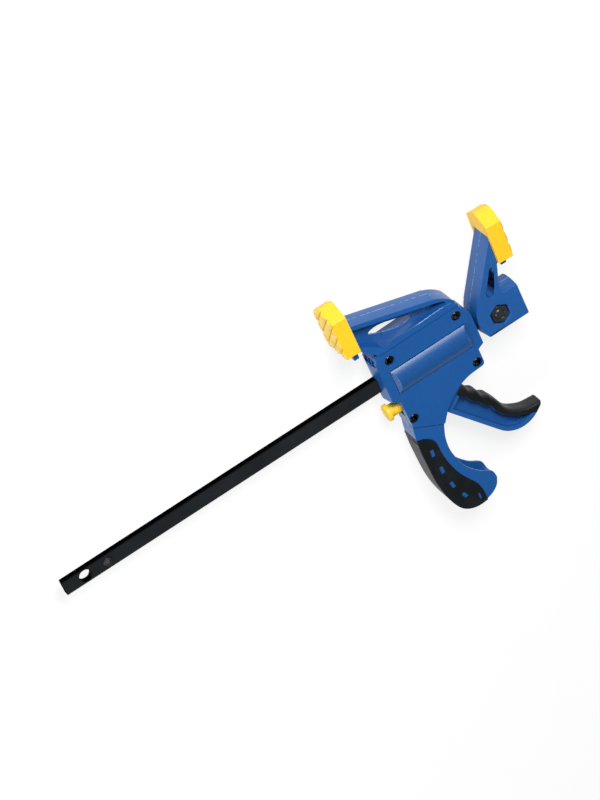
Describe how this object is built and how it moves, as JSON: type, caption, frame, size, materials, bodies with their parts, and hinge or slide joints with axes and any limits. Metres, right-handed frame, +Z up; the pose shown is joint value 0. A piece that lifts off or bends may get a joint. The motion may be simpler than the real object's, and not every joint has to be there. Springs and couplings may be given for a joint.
{
  "type": "one-handed quick release bar clamp",
  "caption": "One-handed bar clamp set up as a spreader: sliding body with pistol handle, squeeze trigger, release button and padded jaws on a flat steel bar.",
  "frame": {"origin": "below the middle of the clamp's box, on the plane that it lies on", "axes": "+X along the bar towards the fixed jaw, +Y the way the jaws stand up from the bar, +Z up out of the side that the clamp lies on"},
  "size_m": [0.5394, 0.2894, 0.042],
  "materials": {
    "bar_finish": "satin black",
    "pin_black": "satin black",
    "jaw_plastic": "fine satin moulded",
    "pad_plastic": "soft satin",
    "bolt_black": "black oxide",
    "grip_rubber": "fine matte",
    "steel": "bright zinc",
    "spring_steel": "drawn wire"
  },
  "bodies": {
    "bar_assembly": {"bar": "bar_finish", "stop_pin": "pin_black", "fixed_jaw": "jaw_plastic", "fixed_pad": "pad_plastic", "jaw_bolt": "bolt_black", "jaw_nut": "bolt_black", "jaw_bush": "steel"},
    "housing": {"body": "jaw_plastic", "cover": "jaw_plastic", "cover_screws": "bolt_black", "moving_pad": "pad_plastic", "handle_grip": "grip_rubber", "bar_liners": "steel", "trigger_pin": "steel", "drive_spring": "spring_steel", "brake_spring": "spring_steel"},
    "trigger_lever": {"trigger": "jaw_plastic", "trigger_rubber": "grip_rubber"},
    "drive_stack": {"drive_plates": "steel"},
    "brake_lever": {"brake_plate": "steel"},
    "button": {"release_button": "pad_plastic"}
  },
  "joints": [
    {"name": "body_slide", "type": "slide", "parent": "bar_assembly", "child": "housing", "axis": [-1, 0, 0], "range_m": [-0.0012, 0.3107]},
    {"name": "trigger_hinge", "type": "hinge", "parent": "housing", "child": "trigger_lever", "pos_m": [0.15833, 0.0002, 0.021], "axis": [0, 0, -1], "range_deg": [0, 30], "stiffness_Nm_per_rad": 0.6, "springref_deg": -28.65},
    {"name": "drive_slide", "type": "slide", "parent": "housing", "child": "drive_stack", "axis": [1, 0, 0], "range_m": [0, 0.00828], "deforming": ["drive_spring"]},
    {"name": "button_slide", "type": "slide", "parent": "housing", "child": "button", "axis": [1, 0, 0], "range_m": [0, 0.00376], "stiffness_N_per_m": 800, "springref_m": -0.004},
    {"name": "brake_hinge", "type": "hinge", "parent": "housing", "child": "brake_lever", "pos_m": [0.11733, 0.0502, 0.021], "axis": [0, 0, 1], "range_deg": [0, 4.5], "deforming": ["brake_spring"]}
  ],
  "couplings": [
    {"joint": "drive_slide", "follows": "trigger_hinge", "m_per_rad": 0.015818},
    {"joint": "brake_hinge", "follows": "button_slide", "rad_per_m": 20.908}
  ]
}
